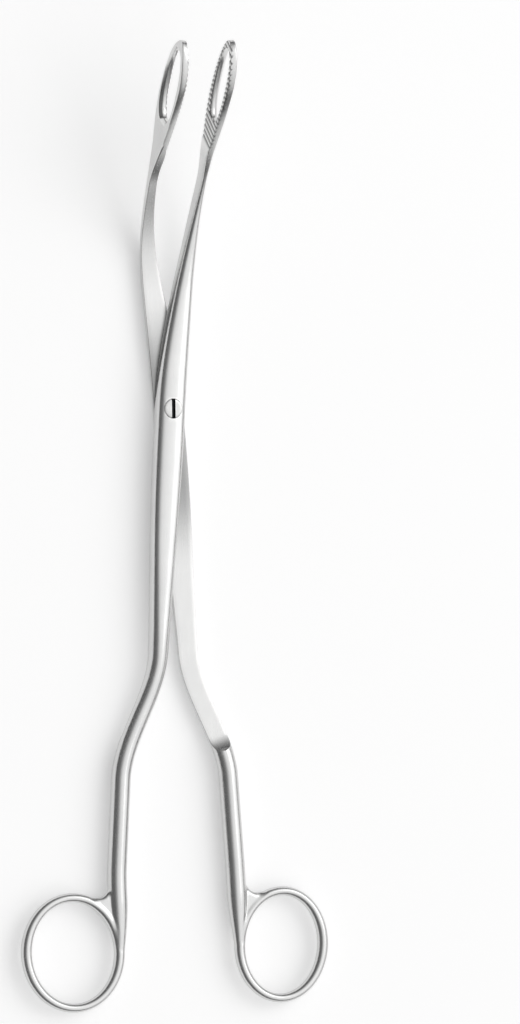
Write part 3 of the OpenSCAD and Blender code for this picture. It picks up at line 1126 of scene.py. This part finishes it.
    def build(self, steel: bpy.types.Material) -> bpy.types.Object:
        """Builds the arm closed, opens it to its rest and puts it in its node's place.

        Args:
            steel: The material of the arm.

        Returns:
            The finished piece.
        """
        made = as_object(self.bar(), self.node + "_forging")
        centre = Vector((-self.side.value * self.ring_out, -self.handle_reach, self.joint_t))
        mirror = Matrix.Scale(self.side.value, 4, (1, 0, 0))
        throat_s = self.throat_at - self.handle_reach
        edge_x = self.ring_out + self.centre_x(throat_s) - self.shank_d / 2
        place = Matrix.Translation(centre) @ mirror
        join(made, carried(self.ring.wire(), place), Joining.ADD)
        join(made, carried(self.ring.web(edge_x, self.shank_d), place), Joining.ADD)
        self.soften_corner(made)
        join(made, carried(self.tooth_comb(), self.jaw_frame()), Joining.CUT)
        join(made, carried(self.window_plug(), self.jaw_frame()), Joining.CUT)
        join(made, self.screw_hole(), Joining.CUT)
        half_turn = -self.side.value * math.radians(self.rest_open_deg) / 2
        opening = Matrix.Rotation(half_turn, 4, "Z")
        made.data.transform(opening)
        closed, to_jaw = opening.inverted(), (opening @ self.jaw_frame()).inverted()
        finished(made, steel, 32, lambda point: self.painted_shade(closed @ point, to_jaw @ point))
        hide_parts(self.node)
        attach(made, self.body)
        LOG.info("%s: %d faces", made.name, len(made.data.polygons))
        return made


@dataclass
class Studio:
    """A white table under a broad soft lamp, and a long-lens camera over it."""

    view_tilt_deg: float = 20.0
    roll_deg: float = 0.9
    frame_high_mm: float = 294.3
    centre_mm: tuple[float, float] = (26.2, -29.7)
    lens: float = 600.0
    sensor: float = 36.0
    table: str = "#F2F2F2"
    lift: float = 0.31
    room_light: float = 1.42
    bright_side: tuple[float, float, float] = (0.574, 0.0, 0.819)
    dark_side_to_bright: tuple[tuple[float, float], ...] = (
        (0.2, 0.8), (0.25, 0.8), (0.29, 0.13), (0.58, 0.16), (0.73, 0.34), (0.85, 0.78),
        (0.94, 1.0),
    )
    floor_to_ceiling: tuple[tuple[float, float], ...] = (
        (0.02, 1.0), (0.05, 0.3), (0.16, 0.3), (0.3, 1.0), (0.9, 1.0),
    )

    def white_where_seen(self, tree: bpy.types.NodeTree) -> bpy.types.NodeSocket:
        """Tells whether a ray comes from the camera, or by way of gloss or glass."""
        path = add_node(tree, "ShaderNodeLightPath").outputs
        seen = path["Is Camera Ray"]
        for other in ("Is Glossy Ray", "Is Transmission Ray"):
            seen = add_node(
                tree, "ShaderNodeMath", {"operation": "MAXIMUM"}, {0: seen, 1: path[other]}
            ).outputs[0]
        return seen

    def world(self) -> None:
        """Lights the room: a soft bright ceiling to the right and a grey wall to the left."""
        world = bpy.data.worlds.new("studio")
        bpy.context.scene.world = world
        world.use_nodes = True
        tree = world.node_tree
        tree.nodes.clear()
        way = add_node(tree, "ShaderNodeTexCoord").outputs["Generated"]
        towards = add_node(
            tree, "ShaderNodeVectorMath", {"operation": "DOT_PRODUCT", 1: self.bright_side},
            {0: way},
        ).outputs["Value"]
        share = add_node(
            tree, "ShaderNodeMath", {"operation": "MULTIPLY_ADD", 1: 0.5, 2: 0.5}, {0: towards}
        ).outputs[0]
        up = add_node(tree, "ShaderNodeSeparateXYZ", None, {0: way}).outputs["Z"]
        light = add_node(
            tree,
            "ShaderNodeMath",
            {"operation": "MULTIPLY"},
            {
                0: self.greys(tree, share, self.dark_side_to_bright),
                1: self.greys(tree, up, self.floor_to_ceiling),
            },
        ).outputs[0]
        strength = add_node(
            tree, "ShaderNodeMath", {"operation": "MULTIPLY", 1: self.room_light}, {0: light}
        ).outputs[0]
        room = add_node(tree, "ShaderNodeBackground", None, {"Strength": strength})
        add_node(tree, "ShaderNodeOutputWorld", None, {"Surface": room.outputs[0]})

    def greys(
        self,
        tree: bpy.types.NodeTree,
        place: bpy.types.NodeSocket,
        steps: Sequence[tuple[float, float]],
    ) -> bpy.types.NodeSocket:
        """Turns a place from 0 to 1 into a grey, through a row of steps.

        Args:
            tree: The node tree of the world.
            place: The socket that gives the place.
            steps: Places, and the grey at each of them.

        Returns:
            The socket that gives the grey.
        """
        ramp = add_node(tree, "ShaderNodeValToRGB", None, {"Fac": place})
        stops = ramp.color_ramp.elements
        for at, grey in steps:
            stops.new(at).color = (grey, grey, grey, 1.0)
        stops.remove(stops[0])
        stops.remove(stops[-1])
        return ramp.outputs["Color"]

    def floor(self) -> None:
        """Lays the plain white table under the forceps."""
        plate = bmesh.new()
        bmesh.ops.create_grid(plate, x_segments=1, y_segments=1, size=15.0)
        made = as_object(plate, "table")
        paint = bpy.data.materials.new("matt_white_table")
        paint.use_nodes = True
        tree = paint.node_tree
        tree.nodes.clear()
        lit = add_node(
            tree, "ShaderNodeBsdfDiffuse", {"Color": linear(self.table)}
        ).outputs[0]
        lift = add_node(
            tree, "ShaderNodeMath", {"operation": "MULTIPLY", 1: self.lift},
            {0: self.white_where_seen(tree)},
        ).outputs[0]
        glow = add_node(tree, "ShaderNodeEmission", None, {"Strength": lift}).outputs[0]
        whole = add_node(tree, "ShaderNodeAddShader", None, {0: lit, 1: glow}).outputs[0]
        add_node(tree, "ShaderNodeOutputMaterial", None, {"Surface": whole})
        made.data.materials.append(paint)

    def lamp(self, name: str, place: Vector, size: float, power: float) -> None:
        """Hangs a square soft lamp that faces the forceps.

        Args:
            name: The lamp's name.
            place: Where it hangs, in metres.
            size: Its side, in metres.
            power: Its power, in watts.
        """
        data = bpy.data.lights.new(name, "AREA")
        data.shape = "SQUARE"
        data.size = size
        data.energy = power
        made = bpy.data.objects.new(name, data)
        made.location = place
        made.rotation_euler = (-place).to_track_quat("-Z", "Y").to_euler()
        made.visible_camera = False
        bpy.context.scene.collection.objects.link(made)

    def camera(self) -> None:
        """Sets the camera so that the frame takes in what the photograph takes in."""
        data = bpy.data.cameras.new("camera")
        data.lens = self.lens
        data.sensor_width = self.sensor
        data.clip_end = 100.0
        made = bpy.data.objects.new("camera", data)
        bpy.context.scene.collection.objects.link(made)
        tilt, roll = math.radians(self.view_tilt_deg), math.radians(self.roll_deg)
        back = Vector((-math.sin(tilt), 0, math.cos(tilt)))
        right = Vector((math.cos(tilt), 0, math.sin(tilt)))
        up = Vector((0, 1, 0))
        rolled_right = right * math.cos(roll) - up * math.sin(roll)
        rolled_up = right * math.sin(roll) + up * math.cos(roll)
        u, v = self.centre_mm
        target = rolled_right * u + rolled_up * v + Vector((0, 0, 4.0))
        distance = self.frame_high_mm * self.lens / self.sensor
        made.matrix_world = Matrix.Translation((target + back * distance) * MM) @ Matrix(
            (rolled_right, rolled_up, back)
        ).transposed().to_4x4()
        bpy.context.scene.camera = made

    def build(self) -> None:
        """Sets up the light, the table and the camera."""
        bpy.context.scene.view_settings.view_transform = "Standard"
        self.world()
        self.floor()
        self.lamp("soft_box", Vector((0.85, 0.35, 1.0)), 1.0, 2.4)
        self.camera()


def main() -> None:
    """Builds the arms, the screw and the studio."""
    logging.basicConfig(level=logging.INFO)
    brushed, lathe = BELT_BRUSHED.material(), TURNED.material()
    Arm(Side.FRONT, "front_half", "front_arm", FingerRing(25.0, 29.0), 157.4, 0.0).build(brushed)
    Arm(Side.REAR, "rear_half", "rear_arm", FingerRing(22.2, 28.2), 156.4, 0.5).build(brushed)
    PivotScrew().build(lathe)
    Studio().build()


if __name__ == "__main__":
    main()
